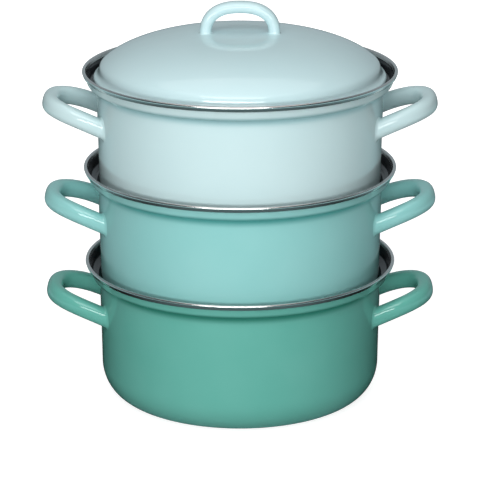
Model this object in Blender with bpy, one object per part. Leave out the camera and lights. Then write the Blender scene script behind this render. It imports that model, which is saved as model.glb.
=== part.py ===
"""Three-tier steamer pot in enamelled steel.

A closed pot stands on the table. Two inserts with perforated floors stack on it, and a
domed lid closes the stack. All three vessels come from one pressing tool, so one profile
gives them all: a tapered wall, a rounded bottom corner, an inward ledge under the rim and
a flared collar. A vessel hangs in the neck of the one below by the curve of its bottom
corner, and the lid stands on the topmost ledge. Metres, Z up, origin at the middle of the
pot's underside, handles along X.
"""

from math import atan2, cos, pi, radians, sin, sqrt, tan

import bmesh
import bpy
from mathutils import Vector

# Vessels: the steel rim sets the outside, and each step inward or down starts at the last
RIM_RADIUS = 0.1330
VESSEL_HEIGHT = 0.1198
SHEET = 0.0015
COLLAR_FLARE = 0.0040
COLLAR_DEPTH = 0.0098
LEDGE_WIDTH = 0.0078
LEDGE_DROP = 0.0041
LEDGE_BEND = 0.0015
WALL_TAPER = 0.0012
CORNER_WIDTH = 0.0218
CORNER_HEIGHT = 0.0277

# Steel band crimped over the rim
BAND_SHEET = 0.0005
BAND_DEPTH = 0.0041

# Steam holes in the floor of an insert, on rings round one hole in the middle
HOLE_DIAMETER = 0.0090
HOLE_RING_STEP = 0.0240
HOLE_RING_COUNT = 3
HOLES_PER_RING_STEP = 6

# Loop handles on the vessels, out from the wall and down from the neck
HANDLE_REACH = 0.0454
HANDLE_HALF_SPREAD = 0.0372
HANDLE_FOOT_DROP = 0.0286
HANDLE_RISE = radians(25.0)
HANDLE_LEVELLING = 0.0052
HANDLE_TALL = 0.0158
HANDLE_THICK = 0.0140
HANDLE_PLAN_POWER = 2.8
HANDLE_SECTION_POWER = 3.0
FOOT_FLARE = 0.0012
FOOT_FLARE_LENGTH = 0.0056

# Lid: its skirt stands on the ledge, just outside the neck, and each height starts there
LID_SHEET = 0.0012
LID_OVERLAP = 0.0016
SKIRT_HEIGHT = 0.0053
SKIRT_FLARE = 0.0008
SHOULDER_BEND = 0.0023
SHOULDER_STEP = 0.0050
DOME_LIFT = 0.0066
DOME_RISE = 0.0305
DOME_BULGE = 0.0020
DOME_PLAN_POWER = 2.56
DOME_RISE_POWER = 0.692

# Arch handle on the lid, its height from the dome's top
ARCH_HALF_SPAN = 0.0287
ARCH_RISE = 0.0270
ARCH_THICK = 0.0106
ARCH_DEEP = 0.0126
ARCH_POWER = 2.4
ARCH_SECTION_POWER = 2.7
ARCH_FLARE = 0.0008
ARCH_FLARE_LENGTH = 0.0030

# Clearance between two pieces that touch
GAP = 0.0003

# Facets
AROUND = 40
CORNER_STEPS = 4
LEDGE_STEPS = 3
BEND_STEPS = 2
CRIMP_STEPS = 3
DOME_STEPS = 7
HOLE_SIDES = 8
LOOP_STEPS = 14
LOOP_SIDES = 8
WALL_SEEKS = 3
ARCH_STEPS = 14
ARCH_SIDES = 8

# Enamel and steel colours, linear
PALE = (0.645, 0.830, 0.825)
TURQUOISE = (0.300, 0.640, 0.625)
TEAL = (0.140, 0.450, 0.375)
STEEL = (0.620, 0.610, 0.600)


def clear_scene():
    """Remove whatever the scene holds."""
    for thing in list(bpy.data.objects):
        bpy.data.objects.remove(thing, do_unlink=True)


def enamel(name, colour):
    """Glossy vitreous enamel of one colour."""
    material = bpy.data.materials.new(name)
    material.use_nodes = True
    shader = material.node_tree.nodes["Principled BSDF"]
    shader.inputs["Base Color"].default_value = (*colour, 1.0)
    shader.inputs["Roughness"].default_value = 0.12
    shader.inputs["Metallic"].default_value = 0.0
    material.diffuse_color = (*colour, 1.0)
    return material


def stainless(name):
    """Polished stainless steel."""
    material = enamel(name, STEEL)
    shader = material.node_tree.nodes["Principled BSDF"]
    shader.inputs["Metallic"].default_value = 1.0
    shader.inputs["Roughness"].default_value = 0.18
    return material


def solid(name, mesh_data, material):
    """Put a finished bmesh into the scene as one smooth-shaded object."""
    mesh = bpy.data.meshes.new(name)
    bmesh.ops.recalc_face_normals(mesh_data, faces=mesh_data.faces)
    mesh_data.to_mesh(mesh)
    mesh_data.free()
    mesh.shade_smooth()
    mesh.set_sharp_from_angle(angle=radians(35.0))
    mesh.materials.append(material)
    thing = bpy.data.objects.new(name, mesh)
    bpy.context.collection.objects.link(thing)
    return thing


def arc(centre, radius_x, radius_z, start, end, steps):
    """Points of an elliptical arc in the profile plane, both ends included."""
    points = []
    for step in range(steps + 1):
        angle = start + (end - start) * step / steps
        points.append(Vector((centre[0] + radius_x * cos(angle), centre[1] + radius_z * sin(angle))))
    return points


def left_normal(direction):
    """Unit vector a quarter turn anticlockwise from a direction in the profile plane."""
    return Vector((-direction[1], direction[0])).normalized()


def offset(points, distance, first=None, last=None):
    """Shift a profile sideways to its left by a distance, mitred at each point.

    first and last are the directions in which the profile leaves its first point and
    reaches its last one, where these differ from its end segments.
    """
    legs = [points[i + 1] - points[i] for i in range(len(points) - 1)]
    before = [first or legs[0]] + legs
    after = legs + [last or legs[-1]]
    shifted = []
    for point, arriving, leaving in zip(points, before, after):
        a, b = left_normal(arriving), left_normal(leaving)
        shifted.append(point + (a + b) * distance / (1.0 + a.dot(b)))
    return shifted


def rings(mesh_data, profile):
    """Turn each profile point into a ring of vertices round Z."""
    made = []
    for radius, height in profile:
        ring = []
        for step in range(AROUND):
            angle = 2.0 * pi * step / AROUND
            ring.append(mesh_data.verts.new((radius * cos(angle), radius * sin(angle), height)))
        made.append(ring)
    return made


def bridge(mesh_data, first, second):
    """Faces between two closed rings with equally many vertices."""
    count = len(first)
    for i in range(count):
        j = (i + 1) % count
        mesh_data.faces.new((first[i], first[j], second[j], second[i]))


def turned_dish(profile):
    """A turned sheet whose profile runs from one flat round face, over an edge, to another."""
    mesh_data = bmesh.new()
    made = rings(mesh_data, profile)
    for first, second in zip(made, made[1:]):
        bridge(mesh_data, first, second)
    mesh_data.faces.new(made[0])
    mesh_data.faces.new(made[-1])
    return mesh_data


def turned_ring(profile):
    """A turned ring whose profile is a closed loop."""
    mesh_data = bmesh.new()
    made = rings(mesh_data, profile)
    for first, second in zip(made, made[1:] + made[:1]):
        bridge(mesh_data, first, second)
    return mesh_data


def crimp_half_width():
    """Half the width of the rolled rim: half the sheet, the clearance and the band."""
    return 0.5 * SHEET + GAP + BAND_SHEET


def rim_tip():
    """Middle of the rounded edge at the top of the collar, on the sheet's middle line."""
    return Vector((RIM_RADIUS - crimp_half_width(), VESSEL_HEIGHT - crimp_half_width()))


def collar_foot():
    """Outer surface at the bottom of the flared collar."""
    return Vector((RIM_RADIUS - COLLAR_FLARE, VESSEL_HEIGHT - COLLAR_DEPTH))


def collar_direction():
    """Unit vector up the flared collar in the profile plane."""
    return (rim_tip() - collar_foot() + Vector((0.5 * SHEET, 0.0))).normalized()


def neck():
    """Outer surface at the top of the wall, where the ledge has turned down into it."""
    down = LEDGE_DROP + LEDGE_BEND
    return collar_foot() - Vector((LEDGE_WIDTH, down))


def corner_top():
    """Outer surface at the bottom of the wall, where the rounded corner begins."""
    return Vector((neck()[0] - WALL_TAPER, CORNER_HEIGHT))


def vessel_outside():
    """Outer profile of a vessel, from the edge of its flat base up to the rim."""
    corner_centre = corner_top() - Vector((CORNER_WIDTH, 0.0))
    bend_centre = neck() + Vector((LEDGE_BEND, 0.0))
    ledge_centre = Vector((bend_centre[0], collar_foot()[1]))
    ledge_width = LEDGE_WIDTH - LEDGE_BEND
    points = arc(corner_centre, CORNER_WIDTH, CORNER_HEIGHT, -pi / 2, 0.0, CORNER_STEPS)
    points += arc(bend_centre, LEDGE_BEND, LEDGE_BEND, pi, pi / 2, BEND_STEPS)
    points += arc(ledge_centre, ledge_width, LEDGE_DROP, -pi / 2, 0.0, LEDGE_STEPS)[1:]
    points.append(rim_tip() - left_normal(collar_direction()) * 0.5 * SHEET)
    return points


def vessel_profile():
    """Closed sheet profile of a vessel, from its underside over the rim to its floor."""
    outside = vessel_outside()
    inside = offset(outside, SHEET, first=Vector((1.0, 0.0)))
    edge = rim_tip() + collar_direction() * 0.5 * SHEET
    return outside + [edge] + inside[::-1]


def tier_pitch():
    """Height from one vessel's base to the base of the vessel stacked in it.

    The upper vessel sinks until the curve of its bottom corner meets the neck below.
    """
    seat_radius = min(neck()[0] - SHEET - GAP, corner_top()[0])
    across = (seat_radius - corner_top()[0] + CORNER_WIDTH) / CORNER_WIDTH
    sunk = CORNER_HEIGHT * (1.0 - sqrt(max(0.0, 1.0 - across * across)))
    return neck()[1] - sunk


def band_profile():
    """Closed profile of the steel band, an upside-down U over the rim."""
    tip = rim_tip()
    up = collar_direction()
    out = -left_normal(up)
    outer = crimp_half_width()
    inner = outer - BAND_SHEET
    skirt = up * ((BAND_DEPTH - outer) / up[1])
    lean = atan2(out[1], out[0])
    crown = arc(tip, outer, outer, lean, lean + pi, CRIMP_STEPS)
    hollow = arc(tip, inner, inner, lean + pi, lean, CRIMP_STEPS - 1)
    loop = [crown[0] - skirt] + crown + [crown[-1] - skirt]
    loop += [hollow[0] - skirt] + hollow + [hollow[-1] - skirt]
    return loop


def punch_floor(vessel, name):
    """Cut the steam holes through the floor of an insert."""
    mesh_data = bmesh.new()
    depth = 4.0 * SHEET
    for ring in range(HOLE_RING_COUNT + 1):
        count = max(1, HOLES_PER_RING_STEP * ring)
        for step in range(count):
            angle = 2.0 * pi * (step + 0.5) / count
            reach = ring * HOLE_RING_STEP
            made = bmesh.ops.create_cone(
                mesh_data, cap_ends=True, cap_tris=False, segments=HOLE_SIDES,
                radius1=0.5 * HOLE_DIAMETER, radius2=0.5 * HOLE_DIAMETER, depth=depth,
            )
            place = Vector((reach * cos(angle), reach * sin(angle), 0.0))
            bmesh.ops.translate(mesh_data, verts=made["verts"], vec=place)
    mesh = bpy.data.meshes.new(name)
    mesh_data.to_mesh(mesh)
    mesh_data.free()
    cutter = bpy.data.objects.new(name, mesh)
    cutter.location = vessel.location
    cutter.hide_render = True
    cutter.display_type = "WIRE"
    bpy.context.collection.objects.link(cutter)
    cut = vessel.modifiers.new("steam holes", "BOOLEAN")
    cut.operation = "DIFFERENCE"
    cut.solver = "EXACT"
    cut.object = cutter
    return cutter


def power_circle(angle, power):
    """Cosine and sine of a rounded square: a circle at power 2, squarer above it."""
    c, s = cos(angle), sin(angle)
    x = abs(c) ** (2.0 / power) * (1.0 if c >= 0.0 else -1.0)
    y = abs(s) ** (2.0 / power) * (1.0 if s >= 0.0 else -1.0)
    return x, y


def stations(path, steps, inset):
    """Points along a dense path: both ends, and equal steps from one inset to the other."""
    lengths = [0.0]
    for a, b in zip(path, path[1:]):
        lengths.append(lengths[-1] + (b - a).length)
    stretch = (lengths[-1] - 2.0 * inset) / (steps - 2)
    wanted = [0.0] + [inset + stretch * step for step in range(steps - 1)] + [lengths[-1]]
    points = []
    at = 0
    for distance in wanted:
        while at < len(path) - 2 and lengths[at + 1] < distance:
            at += 1
        share = (distance - lengths[at]) / (lengths[at + 1] - lengths[at])
        points.append(path[at].lerp(path[at + 1], share))
    return points


def half_loop(length, half_width, power):
    """Half of a rounded square, from one foot over the far end to the other foot."""
    dense = []
    for step in range(201):
        across, along = power_circle(pi * step / 200, power)
        dense.append(Vector((length * abs(along), half_width * across)))
    return dense


def tube(sections):
    """A closed solid through equal rings of points, with a flat fan at either end."""
    mesh_data = bmesh.new()
    made = []
    for section in sections:
        made.append([mesh_data.verts.new(point) for point in section])
    for first, second in zip(made, made[1:]):
        bridge(mesh_data, first, second)
    for ring in (made[0], made[-1]):
        middle = sum((vert.co for vert in ring), Vector()) / len(ring)
        hub = mesh_data.verts.new(middle)
        for i in range(len(ring)):
            mesh_data.faces.new((ring[i], ring[(i + 1) % len(ring)], hub))
    return mesh_data


def wall_radius(height):
    """Outer radius of the tapered wall at a height above the base."""
    share = (height - CORNER_HEIGHT) / (neck()[1] - CORNER_HEIGHT)
    return neck()[0] - WALL_TAPER * (1.0 - share)


def onto_wall(point):
    """The point moved along the foot, which rises outward, until it clears the wall by the gap."""
    x, height = point[0], point[2]
    for step in range(WALL_SEEKS):
        clear = wall_radius(height) + GAP
        x = sqrt(clear * clear - point[1] * point[1])
        height = point[2] + (x - point[0]) * tan(HANDLE_RISE)
    return Vector((x, point[1], height))


def handle_sections():
    """Rings of points along a loop handle on the +X side of a vessel.

    In plan the loop's middle line is half a rounded square. Seen from the side it climbs
    outward and levels off towards the end. Both feet follow the curve of the wall.
    """
    foot_height = neck()[1] - HANDLE_FOOT_DROP
    root = sqrt(wall_radius(foot_height) ** 2 - HANDLE_HALF_SPREAD ** 2)
    length = neck()[0] + HANDLE_REACH - 0.5 * HANDLE_THICK - root
    outline = half_loop(length, HANDLE_HALF_SPREAD, HANDLE_PLAN_POWER)
    plan = stations(outline, LOOP_STEPS, FOOT_FLARE_LENGTH)
    sections = []
    for i, here in enumerate(plan):
        ahead = plan[min(i + 1, LOOP_STEPS)] - plan[max(i - 1, 0)]
        sideways = -left_normal(ahead)
        slope = tan(HANDLE_RISE) - 2.0 * HANDLE_LEVELLING * here[0] / length ** 2
        tilt = atan2(slope, 1.0)
        climb = here[0] * tan(HANDLE_RISE) - HANDLE_LEVELLING * (here[0] / length) ** 2
        swell = FOOT_FLARE if i in (0, LOOP_STEPS) else 0.0
        ring = []
        for side in range(LOOP_SIDES):
            thick, tall = power_circle(2.0 * pi * (side + 0.5) / LOOP_SIDES, HANDLE_SECTION_POWER)
            thick *= 0.5 * HANDLE_THICK + swell
            tall *= 0.5 * HANDLE_TALL + swell
            x = root + here[0] + sideways[0] * thick * cos(tilt) - tall * sin(tilt)
            y = here[1] + sideways[1] * thick
            z = foot_height + climb + sideways[0] * thick * sin(tilt) + tall * cos(tilt)
            ring.append(Vector((x, y, z)))
        sections.append(ring)
    return sections


def loop_handle(name, material, height, side):
    """One loop handle, on the +X side or, mirrored, on the -X side."""
    sections = handle_sections()
    feet = (0, len(sections) - 1)
    for i in feet:
        sections[i] = [onto_wall(point) for point in sections[i]]
    placed = [[Vector((side * p[0], p[1], p[2])) for p in ring] for ring in sections]
    handle = solid(name, tube(placed), material)
    handle.location = (0.0, 0.0, height)
    return handle


def skirt_radius():
    """Outer radius of the foot of the lid's skirt."""
    return neck()[0] + LID_OVERLAP


def shoulder_radius():
    """Outer radius of the lid's shoulder, from which the skirt narrows to its foot."""
    return skirt_radius() + SKIRT_FLARE


def dome_radius():
    """Outer radius of the dome where it meets the shoulder."""
    return shoulder_radius() - SHOULDER_STEP


def dome_height(radius):
    """Height of the dome's outside over the lid's seat, at a radius."""
    share = min(1.0, radius / (dome_radius() + DOME_BULGE))
    rise = (1.0 - share ** DOME_PLAN_POWER) ** DOME_RISE_POWER
    return SKIRT_HEIGHT + DOME_LIFT + DOME_RISE * rise


def lid_seat():
    """Height of the foot of the lid's skirt over the base of the vessel it closes."""
    return neck()[1] + LEDGE_BEND + SHEET + GAP


def lid_outside():
    """Outer profile of the lid from near the axis down to the foot of its skirt.

    The dome ends in a small hollow, then turns over a rounded shoulder into the skirt.
    """
    shoulder_centre = Vector((shoulder_radius() - SHOULDER_BEND, SKIRT_HEIGHT))
    dip = SHOULDER_STEP - SHOULDER_BEND
    hollow_centre = shoulder_centre + Vector((0.0, SHOULDER_BEND + dip))
    points = []
    for step in range(1, DOME_STEPS + 1):
        radius = dome_radius() * sin(0.5 * pi * step / DOME_STEPS)
        points.append(Vector((radius, dome_height(radius))))
    points += arc(hollow_centre, dip, dip, pi, 1.5 * pi, BEND_STEPS)
    points += arc(shoulder_centre, SHOULDER_BEND, SHOULDER_BEND, pi / 2, 0.0, BEND_STEPS)[1:]
    points.append(Vector((skirt_radius(), 0.0)))
    return points


def lid_profile():
    """Closed sheet profile of the lid, from its top over the skirt's level foot to its inside."""
    outside = lid_outside()
    inside = offset(outside, -LID_SHEET, first=Vector((1.0, 0.0)))
    inside[-1][1] = outside[-1][1]
    return outside + inside[::-1]


def arch_sections():
    """Rings of points along the arch handle, over X, standing on the dome."""
    foot = dome_height(ARCH_HALF_SPAN) + GAP
    rise = dome_height(0.0) + ARCH_RISE - 0.5 * ARCH_THICK - foot
    line = stations(half_loop(rise, ARCH_HALF_SPAN, ARCH_POWER), ARCH_STEPS, ARCH_FLARE_LENGTH)
    sections = []
    for i, here in enumerate(line):
        ahead = line[min(i + 1, ARCH_STEPS)] - line[max(i - 1, 0)]
        outward = -left_normal(ahead)
        swell = ARCH_FLARE if i in (0, ARCH_STEPS) else 0.0
        ring = []
        for side in range(ARCH_SIDES):
            thick, deep = power_circle(2.0 * pi * (side + 0.5) / ARCH_SIDES, ARCH_SECTION_POWER)
            thick *= 0.5 * ARCH_THICK + swell
            deep *= 0.5 * ARCH_DEEP + swell
            x = here[1] + outward[1] * thick
            z = foot + here[0] + outward[0] * thick
            if i in (0, ARCH_STEPS):
                z = dome_height(sqrt(x * x + deep * deep)) + GAP
            ring.append(Vector((x, deep, z)))
        sections.append(ring)
    return sections


def make_vessel(label, kind, colour, height, perforated):
    """A vessel's body, steel band and two loop handles at a height above the table."""
    body_enamel = enamel(label + " enamel", colour)
    handle_enamel = enamel(label + " handle enamel", colour)
    body = solid(label + "_" + kind + "_body", turned_dish(vessel_profile()), body_enamel)
    body.location = (0.0, 0.0, height)
    if perforated:
        punch_floor(body, label + "_steam_hole_punch")
    band = solid(label + "_rim_band", turned_ring(band_profile()), stainless(label + " band steel"))
    band.location = (0.0, 0.0, height)
    loop_handle(label + "_left_handle", handle_enamel, height, -1.0)
    loop_handle(label + "_right_handle", handle_enamel, height, 1.0)


def make_lid(height):
    """The lid and its arch handle, over a vessel whose base is at a height."""
    seat = height + lid_seat()
    dome = solid("lid_dome", turned_dish(lid_profile()), enamel("lid enamel", PALE))
    dome.location = (0.0, 0.0, seat)
    arch = solid("lid_handle", tube(arch_sections()), enamel("lid handle enamel", PALE))
    arch.location = (0.0, 0.0, seat)


def build():
    """The whole stack, from the table up."""
    clear_scene()
    pitch = tier_pitch()
    make_vessel("bottom", "pot", TEAL, 0.0, perforated=False)
    make_vessel("middle", "insert", TURQUOISE, pitch, perforated=True)
    make_vessel("top", "insert", PALE, 2.0 * pitch, perforated=True)
    make_lid(2.0 * pitch)
    print("tier pitch", round(1000.0 * pitch, 2), "mm")
    top = 2.0 * pitch + lid_seat() + dome_height(0.0) + ARCH_RISE
    print("overall height", round(1000.0 * top, 1), "mm")


build()
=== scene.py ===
# %% [markdown]
# # A three-tier steamer pot in enamelled steel
#
# A closed pot carries two steamer inserts and a domed lid. Each vessel is one sheet of steel,
# pressed to a dish, dipped in liquid glass and fired: colour outside, black inside. A rolled
# steel band covers the raw rim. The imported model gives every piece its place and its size,
# and this script adds the fine surface and the finish.

import bmesh
import bpy
import numpy as np
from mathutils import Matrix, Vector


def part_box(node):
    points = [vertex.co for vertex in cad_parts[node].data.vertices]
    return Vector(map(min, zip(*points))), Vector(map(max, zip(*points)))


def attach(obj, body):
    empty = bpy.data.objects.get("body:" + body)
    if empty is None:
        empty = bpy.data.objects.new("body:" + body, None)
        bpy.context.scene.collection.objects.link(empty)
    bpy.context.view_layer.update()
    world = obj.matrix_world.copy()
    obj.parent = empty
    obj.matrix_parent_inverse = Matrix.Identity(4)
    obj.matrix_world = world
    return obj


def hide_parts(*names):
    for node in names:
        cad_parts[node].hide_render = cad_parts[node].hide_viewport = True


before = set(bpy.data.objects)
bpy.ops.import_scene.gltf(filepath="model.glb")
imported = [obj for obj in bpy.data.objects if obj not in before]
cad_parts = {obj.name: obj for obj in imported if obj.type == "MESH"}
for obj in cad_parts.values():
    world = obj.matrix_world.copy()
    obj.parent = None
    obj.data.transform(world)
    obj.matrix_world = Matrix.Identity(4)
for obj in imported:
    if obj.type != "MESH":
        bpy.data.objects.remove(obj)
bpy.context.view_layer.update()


def in_mm(lengths):
    """Lengths in metres as plain numbers in millimetres."""
    return np.round(1000.0 * np.array(lengths), 2).tolist()


# %% [markdown]
# The photograph looks down at the pot a little, from the front, with a long lens: all three
# rims are flat ellipses of nearly the same shape. How wide and how tall they are gives the
# camera's height and tilt, and the width of the rims gives the lens.

# %% Camera
CAMERA_PLACE = (0.0, -1.9797, 0.7673)
CAMERA_TILT = np.radians(72.25)
SENSOR_MM = 36.0
LENS_MM = 181.05


def new_object(name, data):
    """An object in the scene, at the origin."""
    thing = bpy.data.objects.new(name, data)
    bpy.context.scene.collection.objects.link(thing)
    return thing


camera_data = bpy.data.cameras.new("camera")
camera_data.sensor_width = SENSOR_MM
camera_data.lens = LENS_MM
camera = new_object("camera", camera_data)
camera.location = CAMERA_PLACE
camera.rotation_euler = (CAMERA_TILT, 0.0, 0.0)
bpy.context.scene.camera = camera
print("camera looks down by", round(90.0 - np.degrees(CAMERA_TILT), 2), "degrees")

# %% [markdown]
# All three vessels come from one press tool, so they share one outline. A Screw modifier could
# turn a drawn curve, but the handles have to meet the same wall, and the holes the same floor.
# So the outline is kept as numbers: arcs and lines in the plane of radius and height, measured
# from the steel rim inward and down, as a toolmaker would.

# %% Sizes of a vessel, from the frame and the press tool
band_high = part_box("bottom_rim_band")[1]
pot_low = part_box("bottom_pot_body")[0]

SHEET = 0.0015           # thickness of the steel and its glass
CRIMP = 0.00146          # half the width of the rolled rim
COLLAR_LEAN = 0.00245    # the collar flares by this much
COLLAR_RISE = 0.00825    # over this height
LEDGE_WIDTH = 0.0078     # from the neck out to the collar's foot
LEDGE_DROP = 0.0041      # the ledge curves up over this height
LEDGE_BEND = 0.0015      # radius of the bend from the wall into the ledge
WALL_TAPER = 0.0012      # the wall is this much narrower over the corner than at the neck
CORNER_WIDTH = 0.0218    # the corner between base and wall is part of an ellipse
CORNER_HEIGHT = 0.0277
WALL_EASE = 1.35         # the wall leaves the corner upright and then leans outward
COLLAR_SAG = 0.0004      # the collar's outline sags inward by this much at half its height
INSIDE_EASE = 0.0040     # corners of the inside, where the next vessel and the lid rest
OUTSIDE_EASE = 0.0085    # corners of the outside, which the glass fills more

rim_tip = np.array([band_high.y - CRIMP, band_high.z - CRIMP])
collar_foot = rim_tip - np.array([COLLAR_LEAN, COLLAR_RISE])
neck = collar_foot - np.array([LEDGE_WIDTH, LEDGE_DROP + LEDGE_BEND])
collar_tilt = np.arctan2(COLLAR_LEAN + 0.5 * SHEET, COLLAR_RISE)
print("neck radius and height, mm", in_mm(neck))

# %% Arcs, and points along a path
def arc(centre, radii, start, end, count=48):
    """Part of an ellipse: centre plus radii times cosine and sine of angles from start to end."""
    angle = np.linspace(start, end, count)
    return np.stack([centre[0] + radii[0] * np.cos(angle), centre[1] + radii[1] * np.sin(angle)], axis=1)


def run_length(path):
    """Distance from the first point to each point, along the path."""
    steps = np.linalg.norm(np.diff(path, axis=0), axis=1)
    return np.concatenate([[0.0], np.cumsum(steps)])


def at_distances(path, distances):
    """Points of a path at given distances from its start, found by linear interpolation."""
    length = run_length(path)
    return np.stack([np.interp(distances, length, path[:, axis]) for axis in range(path.shape[1])], axis=1)


def softened(path, width, step=0.0001):
    """The path with its corners rounded: each point becomes the mean of its neighbours.

    The path is read at even steps and averaged over a window of the given width. Mirrored
    copies beyond both ends keep the end points and their directions.
    """
    length = run_length(path)[-1]
    even = at_distances(path, np.linspace(0.0, length, int(length / step) + 1))
    reach = max(1, int(0.5 * width / step))
    before = 2.0 * even[0] - even[reach:0:-1]
    after = 2.0 * even[-1] - even[-2:-2 - reach:-1]
    padded = np.concatenate([before, even, after])
    weight = np.hanning(2 * reach + 3)[1:-1]
    weight /= weight.sum()
    return np.stack([np.convolve(padded[:, axis], weight, "valid") for axis in (0, 1)], axis=1)


def thinned(path, count, bend_share=0.7):
    """A path read at few points, dense where it bends and sparse where it is straight.

    Each step covers an equal share of the length and of the turning, added together.
    """
    steps = np.diff(path, axis=0)
    heading = np.unwrap(np.arctan2(steps[:, 1], steps[:, 0]))
    turning = np.concatenate([[0.0], np.abs(np.diff(heading))])
    share = np.linalg.norm(steps, axis=1) / run_length(path)[-1] * (1.0 - bend_share)
    share = share + turning / max(turning.sum(), 1e-9) * bend_share
    measure = np.concatenate([[0.0], np.cumsum(share)])
    wanted = np.linspace(0.0, measure[-1], count)
    return np.stack([np.interp(wanted, measure, path[:, axis]) for axis in (0, 1)], axis=1)


def directions(path):
    """Unit vectors along a path, one at each point."""
    along = np.gradient(path, axis=0)
    return along / np.linalg.norm(along, axis=1, keepdims=True)


def shifted(path, distance):
    """A path moved sideways to its left, point by point, by a distance."""
    along = directions(path)
    return path + distance * np.stack([-along[:, 1], along[:, 0]], axis=1)


quarter = arc((0.0, 0.0), (1.0, 1.0), 0.0, np.pi / 2)
print("a quarter circle in", len(quarter), "points is", round(run_length(quarter)[-1], 4), "long")

# %% [markdown]
# The wall rises from a round corner, leans outward and bends into the ledge that carries the
# next vessel or the lid. From there a collar flares to the rim. The inside is the same line
# moved in by the thickness of the sheet, with tighter corners, because the liquid glass fills
# the outer ones.

# %% Outline of a vessel
WALL_POINTS = 60         # on the wall, before the outline is thinned
COLLAR_POINTS = 30       # and on the collar
RIM_POINTS = 9


def wall_radius(height):
    """Outer radius of the wall: the corner's, plus a share of the taper that grows with height."""
    share = np.clip((height - CORNER_HEIGHT) / (neck[1] - CORNER_HEIGHT), 0.0, 1.0)
    return neck[0] - WALL_TAPER * (1.0 - share ** WALL_EASE)


def vessel_outline(start_radius, count=96):
    """Sheet outline from a radius on the underside, up the outside, over the rim and in again.

    Returns the points and the number of the one on top of the rim, where the colour ends.
    """
    upright = neck[0] - WALL_TAPER
    corner = arc((upright - CORNER_WIDTH, CORNER_HEIGHT), (CORNER_WIDTH, CORNER_HEIGHT), -np.pi / 2, 0.0)
    heights = np.linspace(CORNER_HEIGHT, neck[1], WALL_POINTS)
    wall = np.stack([wall_radius(heights), heights], axis=1)
    bend = arc((neck[0] + LEDGE_BEND, neck[1]), (LEDGE_BEND, LEDGE_BEND), np.pi, np.pi / 2)
    ledge_radii = (LEDGE_WIDTH - LEDGE_BEND, LEDGE_DROP)
    ledge_centre = (neck[0] + LEDGE_BEND, collar_foot[1])
    last = -np.arctan(ledge_radii[1] / ledge_radii[0] * np.tan(collar_tilt))
    ledge = arc(ledge_centre, ledge_radii, -np.pi / 2, last)
    outward = np.array([np.cos(collar_tilt), -np.sin(collar_tilt)])
    share = np.linspace(0.0, 1.0, COLLAR_POINTS)[:, None]
    collar = ledge[-1] + share * (rim_tip + 0.5 * SHEET * outward - ledge[-1])
    collar = collar - 4.0 * share * (1.0 - share) * COLLAR_SAG * outward
    pressed = np.concatenate([[[start_radius, 0.0]], corner, wall[1:], bend[1:], ledge[1:], collar[1:]])
    outside = softened(pressed, OUTSIDE_EASE)
    inside = shifted(softened(pressed, INSIDE_EASE), SHEET)[::-1]
    inside[-1] = (start_radius, SHEET)
    rim = arc(rim_tip, (0.5 * SHEET, 0.5 * SHEET), -collar_tilt, np.pi - collar_tilt, RIM_POINTS)
    outside, inside = thinned(outside, count), thinned(inside, count)
    return np.concatenate([outside[:-1], rim, inside[1:]]), count - 1 + len(rim) // 2


outline, rim_row = vessel_outline(0.0)
print("vessel outline", len(outline), "points, radius at the rim", in_mm(outline[:, 0].max()), "mm")

# %% [markdown]
# A turned surface is a grid of steps round the axis and steps along the outline. Blender's
# Spin would make it too, but a grid worked out with numpy knows which row each face is in, and
# so whether it is outside or inside. Where the outline meets the axis, a fan of triangles
# closes the pole.

# %% Grids and turned points
AROUND = 216


def grid_faces(rows, columns, close_rows=False):
    """Corner numbers of the quads of a grid of points, one row of faces after another.

    The columns always close into a ring, and the rows where that is asked for.
    """
    row = np.arange(rows if close_rows else rows - 1)[:, None]
    column = np.arange(columns)[None, :]
    next_row, next_column = (row + 1) % rows, (column + 1) % columns
    corners = [row * columns + column, row * columns + next_column,
               next_row * columns + next_column, next_row * columns + column]
    return np.stack(corners, axis=2).reshape(-1, 4)


def turned_points(path, angles):
    """Each point of the path carried round the Z axis: radius times cosine and sine, and height."""
    radius, height = path[:, 0][:, None], path[:, 1][:, None]
    points = [radius * np.cos(angles), radius * np.sin(angles), height + 0.0 * angles]
    return np.stack(points, axis=2).reshape(-1, 3)


def end_fans(rows, columns):
    """Triangles over a grid's first and last ring, each from one of two points after its own."""
    first = np.arange(columns)
    last = first + (rows - 1) * columns
    hub = np.full(columns, rows * columns)
    return np.concatenate([np.stack([np.roll(first, -1), first, hub], axis=1),
                           np.stack([hub + 1, last, np.roll(last, -1)], axis=1)])


angles = 2.0 * np.pi * np.arange(AROUND) / AROUND
sagitta = outline[:, 0].max() * (1.0 - np.cos(np.pi / AROUND))
print(AROUND, "steps round, which flatten the rim by", round(1e6 * sagitta), "micrometres")

# %% [markdown]
# Blender takes a mesh as flat lists: the points, and which of them each face joins. foreach_set
# hands over a whole array at once. Faces have to point outward, and the volume inside them
# tells: it is negative when they point inward.

# %% Meshes from arrays
WELD_DISTANCE = 2e-6
NO_TRIANGLES = np.zeros((0, 3), int)


def signed_volume(points, quads, triangles):
    """Volume inside the faces, by summing the pyramids from the origin: negative if inside out."""
    triangles = np.concatenate([quads[:, [0, 1, 2]], quads[:, [0, 2, 3]], triangles])
    first, second, third = points[triangles].swapaxes(0, 1)
    return np.sum(first * np.cross(second, third)) / 6.0


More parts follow.
